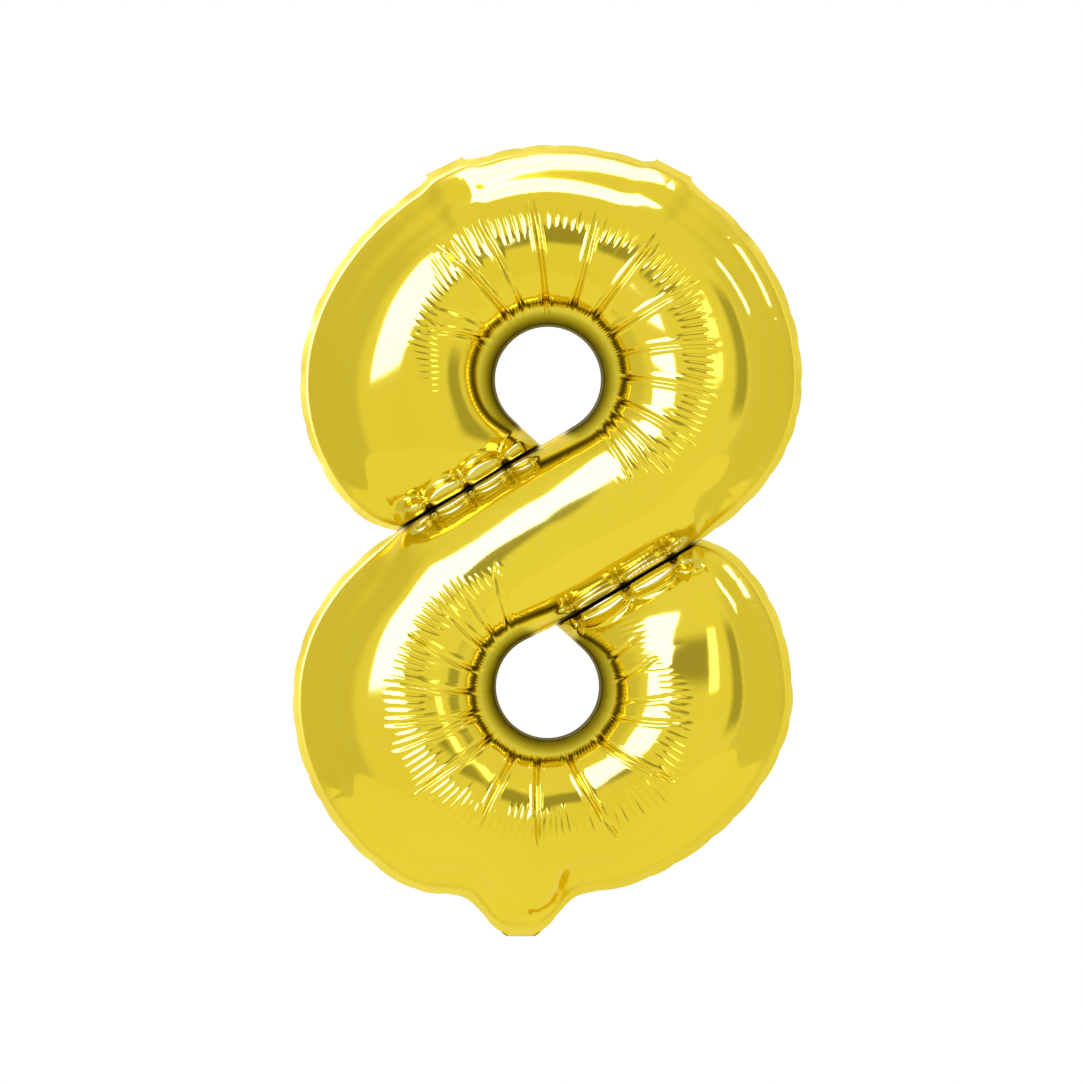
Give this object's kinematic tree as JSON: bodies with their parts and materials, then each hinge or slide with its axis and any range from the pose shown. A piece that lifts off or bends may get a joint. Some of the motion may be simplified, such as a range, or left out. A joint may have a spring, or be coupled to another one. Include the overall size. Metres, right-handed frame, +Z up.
{
  "type": "foil number balloon",
  "caption": "Inflated metallised-film figure 8: two panels heat-sealed along one S-shaped tube, slit butt joints, folded filling tail with film valve, two hanging tabs.",
  "frame": {"origin": "centre of the figure's outline in the plane of its heat seal", "axes": "+Z up along the figure's height, +X to the viewer's right, the front of the figure faces -Y"},
  "size_m": [0.5535, 0.1774, 0.8611],
  "materials": {
    "gold_foil": "vacuum-metallised mirror gold on thin plastic film",
    "clear_film": "clear thin plastic film"
  },
  "bodies": {
    "balloon": {"front_panel": "gold_foil", "rear_panel": "gold_foil"},
    "tail": {"tail_front_ply": "gold_foil", "tail_rear_ply": "gold_foil", "valve_duct_front_ply": "clear_film", "valve_duct_rear_ply": "clear_film"},
    "flap_front": {"valve_flap_front": "clear_film"},
    "flap_rear": {"valve_flap_rear": "clear_film"},
    "tab_left": {"hang_tab_left": "gold_foil"},
    "tab_right": {"hang_tab_right": "gold_foil"}
  },
  "joints": [
    {"name": "tail_fold", "type": "hinge", "parent": "balloon", "child": "tail", "pos_m": [-0.029, 0, -0.4316], "axis": [-1, 0, 0], "range_deg": [0, 120]},
    {"name": "tab_left_fold", "type": "hinge", "parent": "balloon", "child": "tab_left", "pos_m": [-0.11256, 0, 0.40683], "axis": [0.8968, 0, 0.4424], "range_deg": [0, 100]},
    {"name": "tab_right_fold", "type": "hinge", "parent": "balloon", "child": "tab_right", "pos_m": [0.13769, 0, 0.40428], "axis": [0.8897, 0, -0.4565], "range_deg": [0, 100]},
    {"name": "valve_flap_front_open", "type": "hinge", "parent": "balloon", "child": "flap_front", "pos_m": [-0.029, -0.00025, -0.413], "axis": [1, 0, 0], "range_deg": [0, 8], "stiffness_Nm_per_rad": 0.0002},
    {"name": "valve_flap_rear_open", "type": "hinge", "parent": "balloon", "child": "flap_rear", "pos_m": [-0.029, 0.00025, -0.413], "axis": [1, 0, 0], "range_deg": [-8, 0], "stiffness_Nm_per_rad": 0.0002}
  ],
  "couplings": [
    {"joint": "valve_flap_rear_open", "follows": "valve_flap_front_open", "ratio": -1}
  ]
}
